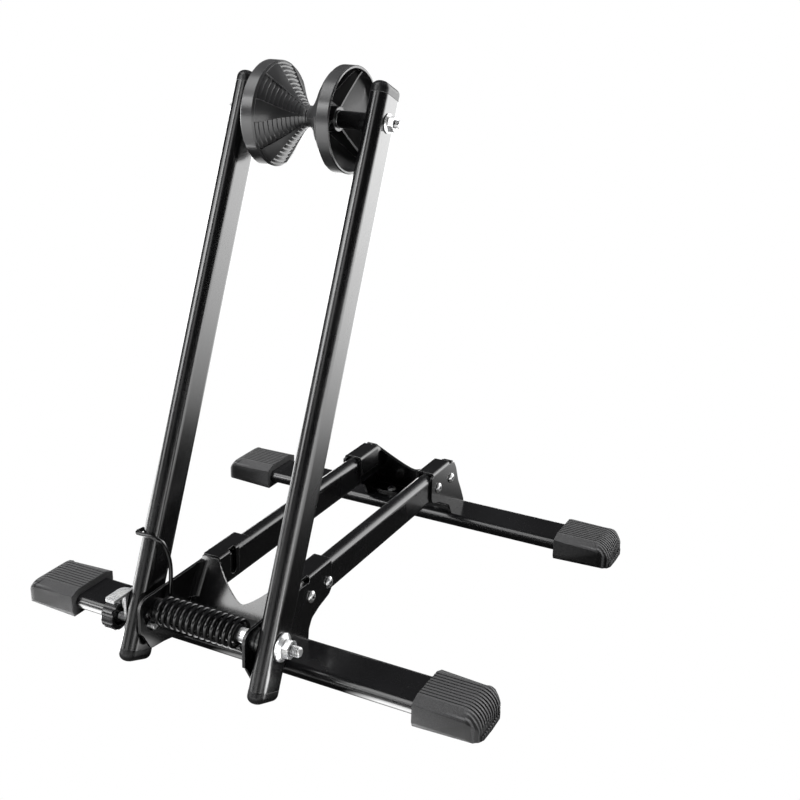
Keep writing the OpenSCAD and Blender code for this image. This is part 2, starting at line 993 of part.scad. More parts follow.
module panel_section() {
    low = dish(panel_low_share, -2 * overrun);
    high = dish(panel_high_share, -2 * overrun);
    polygon([stair(0), each [for (i = [0 : step_count - 1])
        each [[stair(i)[0], stair(i + 1)[1]], stair(i + 1)]], high, low]);
}

module roller_shape() {
    rotate([0, 90, 0])
        difference() {
            union() {
                rotate_extrude()
                    roller_section();
                for (i = [0 : web_count - 1])
                    rotate([0, 0, i * 360 / web_count])
                        rotate([90, 0, 0])
                            linear_extrude(web_thick, center = true)
                                web_section();
            }
            for (i = [0 : panel_count - 1])
                rotate([0, 0, (i + 0.5) * 360 / panel_count - panel_angle / 2])
                    rotate_extrude(angle = panel_angle)
                        panel_section();
        }
}

module roller_one(side) {
    at_top()
        rotate([side < 0 ? left_turn : right_turn, 0, 0])
            mirror([side < 0 ? 1 : 0, 0, 0])
                roller_shape();
}

module roller_bush_one(side) {
    at_top()
        mirror([side < 0 ? 1 : 0, 0, 0])
            washer(roller_gap, roller_bush_end, roller_bush_d, top_d + 2 * run_gap);
}

module left_roller() {
    color(dark_grey) placed()
        roller_one(-1);
}

module right_roller() {
    color(dark_grey) placed()
        roller_one(1);
}

module left_roller_bush() {
    color(zinc) placed()
        roller_bush_one(-1);
}

module right_roller_bush() {
    color(zinc) placed()
        roller_bush_one(1);
}

// Bracket on the left upright
module lock_bracket() {
    color(zinc) placed()
        at_pivot() {
            up = lock_leg_top - pivot_high;
            down = lock_leg_low - pivot_high;
            difference() {
                along_x(-lock_plate_out, -upright_out)
                    polygon(rounded([[-lock_leg_front, down], [lock_leg_back, down],
                        [lock_leg_back, up], [-lock_leg_front, up]],
                        [lock_round / 2, lock_round / 2, lock_round, 0]));
                rod(-lock_plate_out - overrun, -upright_out + overrun, pivot_d + 2 * lock_hole_gap);
            }
            translate([0, 0, up - lock_thick])
                linear_extrude(lock_thick)
                    polygon(rounded([[-upright_out, -lock_back], [-lock_out, -lock_back],
                        [-lock_out, -lock_front], [-upright_out, -lock_front]],
                        [0, lock_round, lock_round / 2, 0]));
        }
}

// Knob with a hollow back, on its stud
module lock_knob() {
    r = knob_d / 2;
    long = knob_end - knob_start;
    color(gloss_black) placed()
        in_swing()
            translate([0, 0, -stud_drop])
                mirror([1, 0, 0])
                    difference() {
                        intersection() {
                            along_x(knob_start, knob_end)
                                difference() {
                                    circle(r = r);
                                    for (i = [0 : flute_count - 1])
                                        rotate(i * 360 / flute_count)
                                            translate([r + flute_r / 3, 0])
                                                circle(r = flute_r);
                                }
                            turned(knob_start)
                                polygon([[0, 0], [r - knob_chamfer, 0], [r, knob_chamfer],
                                    [r, long - 2 * knob_chamfer], [r - 2 * knob_chamfer, long], [0, long]]);
                        }
                        washer(knob_start - overrun, knob_start + knob_hollow,
                            knob_d - 2 * knob_rim - 2 * flute_r, knob_hub_d);
                        rod(knob_start - overrun, knob_start + knob_hub_back, knob_hub_d + overrun);
                        rod(knob_start - overrun, knob_start + knob_hollow, stud_d);
                    }
}

module knob_stud() {
    color(zinc) placed()
        in_swing()
            translate([0, 0, -stud_drop])
                rod(-knob_start - knob_hollow, -stud_start, stud_d);
}

// Torsion spring: a path of points, then a tube swept along it
coil_steps = round(coil_turns * ring_steps);
function coil_angle(i) = i * 360 * coil_turns / coil_steps - 360 * coil_turns;
coil_path = [for (i = [0 : coil_steps]) [-coil_left + coil_long * (1 - i / coil_steps),
    -pivot_ahead + coil_r * cos(coil_angle(i)), pivot_high + coil_r * sin(coil_angle(i))]];
lead_y = -pivot_ahead + coil_r;
front_y = -pivot_ahead + leg_cross_high * tan(tilt) - upright_width / 2 / cos(tilt) - wire / 2 - clear_gap;
cross_z = pivot_high + leg_cross_high;
moving_leg = [[-coil_left - wire * 0.1, lead_y + wire * 0.2, pivot_high + wire * 2],
    [-coil_left - wire * 0.2, lead_y + wire * 0.6, pivot_high + wire * 5],
    [-coil_left - wire * 0.3, lead_y + wire * 0.9, pivot_high + wire * 9],
    [-coil_left - wire * 0.5, lead_y + wire * 0.6, pivot_high + wire * 12],
    [-coil_left - wire * 1.0, front_y + wire * 1.4, cross_z - wire * 2.2],
    [-coil_left - wire * 1.7, front_y + wire * 0.4, cross_z - wire * 0.7],
    [-upright_in - wire * 0.8, front_y, cross_z],
    [-upright_out + wire * 0.8, front_y - wire * 0.1, cross_z],
    [-upright_out - wire * 0.3, front_y + wire * 0.1, cross_z],
    [-upright_out - leg_hook_out, front_y + wire * 0.9, cross_z - wire * 0.1],
    [-upright_out - leg_hook_out, front_y + wire * 0.9 + leg_hook_back / 2, cross_z - wire * 0.2],
    [-upright_out - leg_hook_out, front_y + wire * 0.9 + leg_hook_back, cross_z - wire * 0.3]];
coil_start = coil_path[0];
anchor_y = coil_start[1] - wire * 1.5;
fixed_leg = [[plate_out, anchor_y, coil_start[2]],
    [plate_out - wire, anchor_y, coil_start[2]],
    coil_start + [wire * 3, -wire * 1.5, 0],
    coil_start + [wire * 1.6, -wire * 1.45, 0],
    coil_start + [wire * 0.6, -wire * 1.0, 0]];
spring_path = [each fixed_leg, each coil_path, each moving_leg];

// Directions along the path, and a frame carried along it without twist
function way(i) = unit(spring_path[min(i + 1, len(spring_path) - 1)] - spring_path[max(i - 1, 0)]);
function across(v, w) = unit(v - w * (v * w));
function carried(i, v) = i == len(spring_path) ? [] :
    let(n = across(v, way(i))) [n, each carried(i + 1, n)];
spring_frames = carried(0, [0, 0, 1]);

module torsion_spring() {
    rings = len(spring_path);
    points = [for (i = [0 : rings - 1], j = [0 : wire_sides - 1])
        let(n = spring_frames[i], b = cross(way(i), n), a = 360 * j / wire_sides)
        spring_path[i] + (n * cos(a) + b * sin(a)) * wire / 2];
    sides = [for (i = [0 : rings - 2], j = [0 : wire_sides - 1])
        let(p = i * wire_sides + j, q = i * wire_sides + (j + 1) % wire_sides)
        each [[p, p + wire_sides, q], [q, p + wire_sides, q + wire_sides]]];
    last = (rings - 1) * wire_sides;
    ends = [for (j = [1 : wire_sides - 2])
        each [[0, j, j + 1], [last, last + j + 1, last + j]]];
    color(spring_black) placed()
        polyhedron(points, [each sides, each ends]);
}

// Least gap between parts of the wire that are not neighbours along it
spring_gap = min([for (i = [0 : len(spring_path) - 1])
    for (k = [i + ring_steps / 2 : 1 : len(spring_path) - 1])
        norm(spring_path[i] - spring_path[k]) - wire]);
echo(spring_gap = spring_gap);

front_bar();
rear_bar();
left_rail();
right_rail();
front_bracket();
rear_bracket();
front_left_foot();
front_right_foot();
rear_left_foot();
rear_right_foot();
front_bracket_screws();
rear_bracket_screws();
rail_inserts();
bar_screws();
pivot_bolt();
pivot_nut();
pivot_washers();
pivot_sleeve();
spring_bush();
left_upright();
right_upright();
upright_bushes();
left_top_cap();
right_top_cap();
left_bottom_cap();
right_bottom_cap();
top_bolt();
top_nut();
top_washer();
roller_spacers();
lock_bracket();
left_roller();
left_roller_bush();
right_roller();
right_roller_bush();
lock_knob();
knob_stud();
torsion_spring();
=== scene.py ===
import json
import math
import bmesh
import bpy
from mathutils import Matrix, Vector


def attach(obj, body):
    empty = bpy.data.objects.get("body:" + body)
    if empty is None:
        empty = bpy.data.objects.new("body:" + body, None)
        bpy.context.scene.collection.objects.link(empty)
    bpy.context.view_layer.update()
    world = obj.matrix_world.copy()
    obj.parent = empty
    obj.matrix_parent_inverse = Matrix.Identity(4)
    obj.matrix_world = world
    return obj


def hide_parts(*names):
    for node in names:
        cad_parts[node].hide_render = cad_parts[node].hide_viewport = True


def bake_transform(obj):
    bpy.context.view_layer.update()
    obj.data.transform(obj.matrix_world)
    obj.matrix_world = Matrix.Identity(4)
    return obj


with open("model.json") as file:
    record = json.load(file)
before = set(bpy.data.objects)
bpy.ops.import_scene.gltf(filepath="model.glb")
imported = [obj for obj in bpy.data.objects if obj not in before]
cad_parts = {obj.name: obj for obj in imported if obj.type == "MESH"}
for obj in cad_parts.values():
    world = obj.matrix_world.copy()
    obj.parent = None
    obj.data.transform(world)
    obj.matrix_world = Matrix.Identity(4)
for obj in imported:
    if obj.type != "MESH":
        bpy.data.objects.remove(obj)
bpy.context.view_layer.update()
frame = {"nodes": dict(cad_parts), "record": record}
nodes = frame["nodes"]
print("rack frame loaded,", len(nodes), "nodes")

# Places shared by the pieces, in metres: the part's origin is below the middle of its box
place = {
    "shift": -0.118272,   # the front bar's middle along Y
    "pivot": (0.0, -0.170872, 0.053),
    "tilt": 22.7,         # lean of the uprights in degrees
    "reach": 0.3765,      # swing bolt to roller bolt
    "studDrop": 0.013,    # swing bolt down to the knob's stud
}
pivot = Vector(place["pivot"])
lean = math.radians(place["tilt"])
armAxis = Vector((0, math.sin(lean), math.cos(lean)))
topCentre = pivot + armAxis * place["reach"]
studCentre = pivot - armAxis * place["studDrop"]
sharpAngle = math.radians(34)   # an edge that turns more than this stays crisp


# Node helpers, for a material or the world
def addNode(owner, kind, values=None, **settings):
    # an output is linked to its input, any other value is set on it
    node = owner.node_tree.nodes.new(kind)
    for key, value in settings.items():
        setattr(node, key, value)
    for key, value in (values or {}).items():
        if hasattr(value, "is_output"):
            owner.node_tree.links.new(value, node.inputs[key])
        else:
            node.inputs[key].default_value = value
    return node


def emptyNodes(owner):
    owner.use_nodes = True
    owner.node_tree.nodes.clear()
    return owner


def maths(owner, operation, first, second=0.0):
    return addNode(owner, "ShaderNodeMath", {0: first, 1: second}, operation=operation).outputs[0]


def mapRange(owner, value, low, high, outLow, outHigh, kind="LINEAR"):
    node = addNode(owner, "ShaderNodeMapRange", {
        "Value": value, "From Min": low, "From Max": high, "To Min": outLow, "To Max": outHigh,
    }, interpolation_type=kind)
    return node.outputs[0]


def ramp(owner, value, stops):
    node = addNode(owner, "ShaderNodeValToRGB", {0: value})
    band = node.color_ramp
    while len(band.elements) < len(stops):
        band.elements.new(0.5)
    for element, (at, colour) in zip(band.elements, stops):
        element.position = at
        element.color = (*colour, 1)
    return node.outputs[0]


def greys(stops):
    return [(at, (level,) * 3) for at, level in stops]


def steppedBy(owner, value, stops):
    # a line through pairs of value and level, flat before the first and after the last
    near, far, most = stops[0][0], stops[-1][0], max(level for _, level in stops)
    share = mapRange(owner, value, near, far, 0, 1)
    line = ramp(owner, share, greys([((at - near) / (far - near), level / most) for at, level in stops]))
    return mapRange(owner, line, 0, 1, 0, most)


def byRay(owner, plain, glossy, seen):
    # one shader for bounced light, one for reflections and one for what the camera sees
    path = addNode(owner, "ShaderNodeLightPath").outputs
    unseen = addNode(owner, "ShaderNodeMixShader",
                     {0: path["Is Glossy Ray"], 1: plain.outputs[0], 2: glossy.outputs[0]})
    return addNode(owner, "ShaderNodeMixShader",
                   {0: path["Is Camera Ray"], 1: unseen.outputs[0], 2: seen.outputs[0]}).outputs[0]


# Materials: a noise is given by its scale, detail and roughness, a bump by its strength and depth
surface = {
    "edgeSamples": 4,
    "creviceShadeSamples": 6,
    "edgeTurn": (0.97, 0.75),   # how far a softened edge turns from its face, where the painted edge highlight starts and is full
    "roughRange": (0.3, 0.7),   # the part of a noise over which the roughness goes from low to high
}


def newMaterial(name):
    return emptyNodes(bpy.data.materials.new(name))


def shade(mat, values):
    shader = addNode(mat, "ShaderNodeBsdfPrincipled", values)
    addNode(mat, "ShaderNodeOutputMaterial", {"Surface": shader.outputs[0]})
    return mat


def noiseAt(mat, scale, detail=3.0, rough=0.5, stretch=None):
    spot = addNode(mat, "ShaderNodeTexCoord").outputs["Object"]
    if stretch:
        spot = addNode(mat, "ShaderNodeMapping", {"Vector": spot, "Scale": stretch}).outputs[0]
    noise = addNode(mat, "ShaderNodeTexNoise",
                    {"Vector": spot, "Scale": scale, "Detail": detail, "Roughness": rough})
    return noise.outputs["Fac"]


def cloudColour(mat, noise, own, low, high):
    return ramp(mat, noise, [(low, own["dark"]), (high, own["light"])])


def roughnessFrom(mat, noise, own):
    return mapRange(mat, noise, *surface["roughRange"], *own["roughness"])


def softEdges(mat, radius):
    return addNode(mat, "ShaderNodeBevel", {"Radius": radius}, samples=surface["edgeSamples"]).outputs[0]


def bumpFrom(mat, heights, edge=0.0):
    # each height as its noise, strength and depth, over edges softened by a radius
    normal = softEdges(mat, edge) if edge else None
    for height, strength, distance in heights:
        values = {"Height": height, "Strength": strength, "Distance": distance}
        if normal:
            values["Normal"] = normal
        normal = addNode(mat, "ShaderNodeBump", values).outputs[0]
    return normal


def mixColours(mat, colour, other, kind="MULTIPLY", share=1.0):
    return addNode(mat, "ShaderNodeMix", {"Factor": share, "A": colour, "B": other},
                   data_type="RGBA", blend_type=kind).outputs["Result"]


def paintedEdgeHighlight(mat, colour, radius, bright):
    # painted highlight: pale along an edge, where the light would catch it
    plain = addNode(mat, "ShaderNodeNewGeometry").outputs["Normal"]
    turn = addNode(mat, "ShaderNodeVectorMath", {0: softEdges(mat, radius), 1: plain}, operation="DOT_PRODUCT")
    paintedLight = mapRange(mat, turn.outputs["Value"], *surface["edgeTurn"], 0, bright)
    return mixColours(mat, colour, paintedLight, "ADD")


def paintedCreviceShade(mat, colour, distance, dark, low=0.3, high=0.9):
    # painted shade: darker where another surface is close in front
    openness = addNode(mat, "ShaderNodeAmbientOcclusion", {"Distance": distance},
                       samples=surface["creviceShadeSamples"])
    return mixColours(mat, colour, mapRange(mat, openness.outputs["AO"], low, high, dark, 1.0))


def paintedRibLight(mat, colour):
    # painted highlight on the crests of the ribs round a foot's end, and painted shade between them
    spot = addNode(mat, "ShaderNodeUVMap", uv_map="Wear").outputs["UV"]
    axes = addNode(mat, "ShaderNodeSeparateXYZ", {0: spot}).outputs
    ribs = ramp(mat, maths(mat, "PINGPONG", axes["X"], 0.5), greys(rubberLook["ribs"]))
    share = mapRange(mat, axes["Y"], *rubberLook["ribsFrom"], 0, 1)
    return mixColours(mat, colour, mixColours(mat, (1, 1, 1, 1), ribs, "MIX", share))


paint = {
    "dark": (0.0035, 0.0035, 0.0038),
    "light": (0.0056, 0.0056, 0.00608),
    "cloud": (18.0, 4.0),
    "colourRange": (0.3, 0.7),    # the part of the cloud over which dark turns to light
    "roughness": (0.2, 0.3),
    "coat": 0.6,
    "coatRoughness": 0.14,
    "peel": (230.0, 2.0),
    "peelBump": (0.035, 0.0004),
    "speck": (620.0, 2.0, 0.6),
    "dust": ((0.70, 0), (0.80, 0.035)),
    "edgeHighlight": (0.0007, 0.14),       # painted edge highlight: how far from an edge, and how bright
    "edge": 0.0008,
}


def makePaint():
    mat = newMaterial("GlossBlackPaint")
    cloud = noiseAt(mat, *paint["cloud"])
    peel = noiseAt(mat, *paint["peel"])
    dust = ramp(mat, noiseAt(mat, *paint["speck"]), greys(paint["dust"]))
    colour = cloudColour(mat, cloud, paint, *paint["colourRange"])
    return shade(mat, {
        # painted highlight along the edges
        "Base Color": paintedEdgeHighlight(mat, mixColours(mat, colour, dust, "ADD"), *paint["edgeHighlight"]),
        "Roughness": roughnessFrom(mat, cloud, paint),
        "Coat Weight": paint["coat"],
        "Coat Roughness": paint["coatRoughness"],
        "Normal": bumpFrom(mat, [(peel, *paint["peelBump"])], paint["edge"]),
    })


rubberLook = {
    "dark": (0.024, 0.024, 0.0245),
    "light": (0.052, 0.052, 0.053),
    "cloud": (30.0, 4.0),
    "roughness": (0.66, 0.8),
    "specular": 0.2,
    "sheen": 0.08,
    "sheenRoughness": 0.5,
    "grain": (1500.0, 2.0, 0.7),
    "grainBump": (0.35, 0.0003),
    "colourRange": (0.35, 0.68),
    "speck": (4200.0, 1.0),
    "speckBump": (0.2, 0.0001),
    "edge": 0.0007,
    "creviceShade": (0.0022, 0.3),     # painted shade in the grooves: how far a surface in front counts, and how dark
    "ribs": ((0.17, 0.12), (0.3, 1.0), (0.36, 3.2)),   # from painted shade between two ribs to a painted highlight on the crest
    "ribsFrom": (0.1, 0.45),      # where the painted rib light starts and is full on the way round the end
}


def makeRubber():
    mat = newMaterial("SandyRubber")
    cloud = noiseAt(mat, *rubberLook["cloud"])
    grain = noiseAt(mat, *rubberLook["grain"])
    speck = noiseAt(mat, *rubberLook["speck"])
    colour = cloudColour(mat, grain, rubberLook, *rubberLook["colourRange"])
    bumps = [(grain, *rubberLook["grainBump"]), (speck, *rubberLook["speckBump"])]
    return shade(mat, {
        # painted shade in the grooves, then painted highlight and shade on the ribs round the end
        "Base Color": paintedRibLight(mat, paintedCreviceShade(mat, colour, *rubberLook["creviceShade"])),
        "Roughness": roughnessFrom(mat, cloud, rubberLook),
        "Specular IOR Level": rubberLook["specular"],
        "Sheen Weight": rubberLook["sheen"],
        "Sheen Roughness": rubberLook["sheenRoughness"],
        "Normal": bumpFrom(mat, bumps, rubberLook["edge"]),
    })


zincLook = {
    "dark": (0.62, 0.63, 0.65),
    "light": (0.93, 0.93, 0.92),
    "cloud": (160.0, 5.0, 0.6),
    "colourRange": (0.3, 0.62),
    "roughness": (0.2, 0.34),
    "metallic": 0.7,
    "scuff": (420.0, 3.0, 0.6, (1.0, 6.0, 6.0)),   # drawn out along X
    "scuffBump": (0.12, 0.0002),
    "edge": 0.0003,
    "creviceShade": (0.0014, 0.04, 0.55, 1.0),   # painted shade in the threads; the last two: how open it is where dark ends and starts
}


def makeZinc():
    mat = newMaterial("BrightZinc")
    cloud = noiseAt(mat, *zincLook["cloud"])
    scuff = noiseAt(mat, *zincLook["scuff"])
    colour = cloudColour(mat, cloud, zincLook, *zincLook["colourRange"])
    return shade(mat, {
        # painted shade in the grooves of the threads
        "Base Color": paintedCreviceShade(mat, colour, *zincLook["creviceShade"]),
        "Roughness": roughnessFrom(mat, scuff, zincLook),
        "Metallic": zincLook["metallic"],
        "Normal": bumpFrom(mat, [(scuff, *zincLook["scuffBump"])], zincLook["edge"]),
    })


capLook = {
    "name": "CapPlastic",
    "dark": (0.006, 0.006, 0.0065),
    "light": (0.012, 0.012, 0.0125),
    "roughness": (0.24, 0.34),
    "grain": 0.1,
    "edge": 0.0012,
    "coat": 0.0,
}
rollerLook = {
    "name": "RollerPlastic",
    "dark": (0.019, 0.019, 0.0195),
    "light": (0.029, 0.029, 0.03),
    "roughness": (0.26, 0.36),
    "grain": 0.1,
    "edge": 0.0005,
    "coat": 0.3,
    # painted shade on the steps' risers and in the corners
    "creviceShade": (0.0024, 0.03),
    # painted highlight along the edges of the steps
    "edgeHighlight": (0.0004, 0.12),
}
knobLook = {
    "name": "KnobPlastic",
    "dark": (0.008, 0.008, 0.0085),
    "light": (0.014, 0.014, 0.015),
    "roughness": (0.2, 0.3),
    "grain": 0.06,
    "edge": 0.0004,
    "coat": 0.3,
}
springLook = {
    "name": "SpringBlack",
    "dark": (0.003, 0.003, 0.0032),
    "light": (0.007, 0.007, 0.0075),
    "roughness": (0.1, 0.16),
    "grain": 0.05,
    "edge": 0.0,
    "coat": 0.3,
}
# the same for every smooth coat above
coatLook = {
    "cloud": (45.0, 4.0),
    "colourRange": (0.3, 0.72),
    "grain": (1800.0, 2.0),
    "grainDepth": 0.0001,
    "specular": 0.4,
    "coatRoughness": 0.15,
}


def makeCoat(own):
    mat = newMaterial(own["name"])
    cloud = noiseAt(mat, *coatLook["cloud"])
    grain = noiseAt(mat, *coatLook["grain"])
    colour = cloudColour(mat, cloud, own, *coatLook["colourRange"])
    # painted shade where another surface is close in front
    if "creviceShade" in own:
        colour = paintedCreviceShade(mat, colour, *own["creviceShade"])
    # painted highlight along the edges
    if "edgeHighlight" in own:
        colour = paintedEdgeHighlight(mat, colour, *own["edgeHighlight"])
    return shade(mat, {
        "Base Color": colour,
        "Roughness": roughnessFrom(mat, cloud, own),
        "Specular IOR Level": coatLook["specular"],
        "Coat Weight": own["coat"],
        "Coat Roughness": coatLook["coatRoughness"],
        "Normal": bumpFrom(mat, [(grain, own["grain"], coatLook["grainDepth"])], own["edge"]),
    })


looks = {
    "gloss_black_steel": makePaint(),
    "rubber": makeRubber(),
    "zinc_steel": makeZinc(),
    "black_plastic": makeCoat(capLook),
    "roller_plastic": makeCoat(rollerLook),
    "knob_plastic": makeCoat(knobLook),
    "spring_steel": makeCoat(springLook),
}
for part in frame["record"]["subparts"]:
    node = nodes[part["node"]]
    node.data.materials.clear()
    node.data.materials.append(looks[part["material_slot"]])
print("materials set on", len(nodes), "nodes")


# Mesh helpers
def meshObject(name, verts, faces, look):
    mesh = bpy.data.meshes.new(name)
    mesh.from_pydata([tuple(v) for v in verts], [], faces)
    mesh.validate()
    mesh.update()
    mesh.polygons.foreach_set("use_smooth", [True] * len(mesh.polygons))
    obj = bpy.data.objects.new(name, mesh)
    bpy.context.scene.collection.objects.link(obj)
    obj.data.materials.append(looks[look])
    return obj


def bandFaces(rows, sides, closed=False):
    # quads between rings of vertices, and from the last ring to the first when closed
    faces = []
    for i in range(rows if closed else rows - 1):
        low, high = i * sides, (i + 1) % rows * sides
        for k in range(sides):
            j = (k + 1) % sides
            faces.append((low + k, low + j, high + j, high + k))
    return faces


def smoothPath(points, per):
    # Catmull-Rom through the points
    path = []
    for i in range(len(points) - 1):
        p0, p1 = points[max(i - 1, 0)], points[i]
        p2, p3 = points[i + 1], points[min(i + 2, len(points) - 1)]
        for k in range(per):
            t = k / per
            path.append(0.5 * ((2 * p1) + (p2 - p0) * t + (2 * p0 - 5 * p1 + 4 * p2 - p3) * t * t
                               + (3 * p1 - p0 - 3 * p2 + p3) * t ** 3))
    path.append(points[-1])
    return path


def sweptTube(name, path, radius, sides, look):
    verts, last = [], len(path) - 1
    normal = Vector((0, 0, 1))
    for i, point in enumerate(path):
        way = (path[min(i + 1, last)] - path[max(i - 1, 0)]).normalized()
        normal = (normal - way * normal.dot(way)).normalized()
        side = way.cross(normal)
        for k in range(sides):
            a = 2 * math.pi * k / sides
            verts.append(point + (normal * math.cos(a) + side * math.sin(a)) * radius)
    faces = bandFaces(len(path), sides)
    domeWide, domeHigh = 0.6, 0.3   # a shallow dome on each cut end, as shares of the radius
    for end, other, sign in ((0, path[1], -1), (last, path[-2], 1)):
        out = (path[end] - other).normalized()
        ring = [end * sides + k for k in range(sides)]
        inner = [len(verts) + k for k in range(sides)]
        verts += [path[end] + (verts[k] - path[end]) * domeWide + out * radius * domeHigh for k in ring]
        for k in range(sides):
            j = (k + 1) % sides
            quad = (ring[k], ring[j], inner[j], inner[k])
            faces.append(quad if sign > 0 else quad[::-1])
        faces.append(tuple(inner) if sign > 0 else tuple(inner[::-1]))
    return meshObject(name, verts, faces, look)


# The torsion spring, on the same route as its solid
spring = {
    "wire": 0.0032,
    "radius": 0.0102,
    "left": -0.0402,
    "long": 0.0705,
    "turns": 13.25,
    "stepsPerTurn": 28,
    "sides": 12,
    "earOut": 0.0462,
    "uprightIn": 0.0492,
    "uprightOut": 0.0632,
    "uprightHalf": 0.015,
    "gap": 0.0003,         # between the leg and the upright's front
    "crossHigh": 0.0555,
    "hookOut": 0.0022,
    "hookBack": 0.006,
}


def springPath():
    w, left, radius, turns = (spring[k] for k in ("wire", "left", "radius", "turns"))
    y0, z0 = pivot.y, pivot.z
    count = round(turns * spring["stepsPerTurn"])
    coil = []
    for i in range(count + 1):
        a = math.radians(i * 360 * turns / count - 360 * turns)
        coil.append(Vector((left + spring["long"] * (1 - i / count),
                            y0 + radius * math.cos(a), z0 + radius * math.sin(a))))
    # the fixed leg, from its hole in the right ear
    start = coil[0]
    anchor = start.y - w * 1.5
    fixed = [Vector((spring["earOut"], anchor, start.z)),
             Vector((spring["earOut"] - w, anchor, start.z)),
             start + Vector((w * 3, -w * 1.5, 0)),
             start + Vector((w * 1.6, -w * 1.45, 0)),
             start + Vector((w * 0.6, -w, 0)), start]
    # the moving leg, up from the coil's left end and hooked across the front of the left upright
    lead, cross = y0 + radius, z0 + spring["crossHigh"]
    front = (y0 + spring["crossHigh"] * math.tan(lean) - spring["uprightHalf"] / math.cos(lean)
             - w / 2 - spring["gap"])
    inner, outer, tip = -spring["uprightIn"], -spring["uprightOut"], -spring["uprightOut"] - spring["hookOut"]
    moving = [coil[-1],
              Vector((left - w * 0.1, lead + w * 0.2, z0 + w * 2)),
              Vector((left - w * 0.2, lead + w * 0.6, z0 + w * 5)),
              Vector((left - w * 0.3, lead + w * 0.9, z0 + w * 9)),
              Vector((left - w * 0.5, lead + w * 0.6, z0 + w * 12)),
              Vector((left - w * 1.0, front + w * 1.4, cross - w * 2.2)),
              Vector((left - w * 1.7, front + w * 0.4, cross - w * 0.7)),
              Vector((inner - w * 0.8, front, cross)),
              Vector((outer + w * 0.8, front - w * 0.1, cross)),
              Vector((outer - w * 0.3, front + w * 0.1, cross)),
              Vector((tip, front + w * 0.9, cross - w * 0.1)),
              Vector((tip, front + w * 0.9 + spring["hookBack"] / 2, cross - w * 0.2)),
              Vector((tip, front + w * 0.9 + spring["hookBack"], cross - w * 0.3))]
    return smoothPath(fixed, 5)[:-1] + coil + smoothPath(moving, 6)[1:]


springCoil = sweptTube("SpringCoil", springPath(), spring["wire"] / 2, spring["sides"], "spring_steel")
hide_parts("torsion_spring")
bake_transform(springCoil)
print("spring wound")


# Bolts and stud with their threads, along X from the head on the left
swingBolt = {
    "name": "SwingBolt",
    "node": "pivot_bolt",
    "body": "base",
    "centre": pivot,
    "across": 0.013,             # the head across its flats
    "head": (-0.0725, -0.0672),
    "wide": 0.008,
    "pitch": 0.00125,
    "thread": (0.0700, 0.0790),
}
rollerBolt = {
    "name": "RollerBolt",
    "node": "top_bolt",
    "body": "swing_frame",
    "centre": topCentre,
    "across": 0.010,
    "head": (-0.0687, -0.0647),
    "wide": 0.006,
    "pitch": 0.0010,
    "thread": (0.0680, 0.0730),
}
knobStud = {
    "name": "KnobStud",
    "node": "knob_stud",
    "body": "lock_knob",
    "centre": studCentre,
    "wide": 0.006,
    "pitch": 0.0010,
    "thread": (-0.0830, -0.0432),
}
threadForm = {
    "sides": 36,
    "ringsPerPitch": 7,
    "deep": 0.58,        # in pitches
    "steep": 1.35,
    "startDeep": 0.8,    # in pitches, where the end is chamfered
    "endWide": 0.4,      # the flat end as a share of the radius
}
headForm = {
    "flat": 0.93,        # the round flat on top as a share of the width across the flats
    "slope": 0.6,
}


def ringedPiece(name, centre, rings, sides, look):
    # closed surface from rings, each a place along X and a radius for every angle
    verts = []
    for ring in rings:
        for k in range(sides):
            a = 2 * math.pi * k / sides
            x, r = ring(a)
            verts.append(centre + Vector((x, r * math.cos(a), r * math.sin(a))))
    faces = bandFaces(len(rings), sides)
    faces.append(tuple(range(sides))[::-1])
    faces.append(tuple(range(len(verts) - sides, len(verts))))
    piece = meshObject(name, verts, faces, look)
    piece.data.set_sharp_from_angle(angle=sharpAngle)
    return piece


def hexRadius(a, across):
    return across / 2 / math.cos((a + math.pi / 6) % (math.pi / 3) - math.pi / 6)


def headRings(across, outer, inner):
    flat = across / 2 * headForm["flat"]

    def chamfer(a, t):
        r = flat + (hexRadius(a, across) - flat) * t
        return outer + (r - flat) * headForm["slope"], r

    rings = [lambda a, s=s: (outer, flat * s) for s in (0.3, 0.8, 1.0)]
    rings += [lambda a, t=t: chamfer(a, t) for t in (0.25, 0.5, 0.75, 1.0)]
    rings.append(lambda a: (inner, hexRadius(a, across)))
    return rings


def threadRings(start, end, d, pitch):
    count = round((end - start) / pitch * threadForm["ringsPerPitch"])

    def ridge(a, x):
        wave = abs(2 * ((x / pitch - a / (2 * math.pi)) % 1) - 1)
        r = d / 2 - pitch * threadForm["deep"] * (1 - min(1, wave * threadForm["steep"]))
        return x, min(r, d / 2 - pitch * threadForm["startDeep"] + min(end - x, x - start + pitch))

    places = [start + (end - start) * i / count for i in range(count + 1)]
    rings = [lambda a, x=x: ridge(a, x) for x in places]
    rings.append(lambda a: (end, d / 2 * threadForm["endWide"]))
    return rings


def boltPiece(own):
    start, end = own["thread"]
    radius = own["wide"] / 2
    rings = []
    if "head" in own:
        outer, inner = own["head"]
        rings = headRings(own["across"], outer, inner)
        rings += [lambda a, x=x: (x, radius) for x in (inner, start - 0.0002)]
    rings += threadRings(start, end, own["wide"], own["pitch"])
    piece = ringedPiece(own["name"], own["centre"], rings, threadForm["sides"], "zinc_steel")
    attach(piece, own["body"])
    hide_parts(own["node"])


for own in (swingBolt, rollerBolt, knobStud):
    boltPiece(own)
print("threads cut")


# Rubber feet: the foot's own mesh with its outer corners drawn in, marked for the painted highlight and shade
# on its ribs
foot = {
    "round": 0.0135,      # radius of the outer corners seen from above
    "topBall": 0.0075,    # the corners are rounded off from above and below too
    "soleBall": 0.0012,
    "splits": 3,
    "detail": 0.003,      # longest edge that isn't split
    "margin": 0.001,      # round a corner, where edges are split too
    "endRound": 0.015,    # between the top and the outer end
    # the painted rib light starts this far before the end's rounding
    "ribLightAhead": 0.0016,
    "pitch": 0.0035,      # from rib to rib
    "ribsAside": 8,       # keeps the count of ribs above nought
}


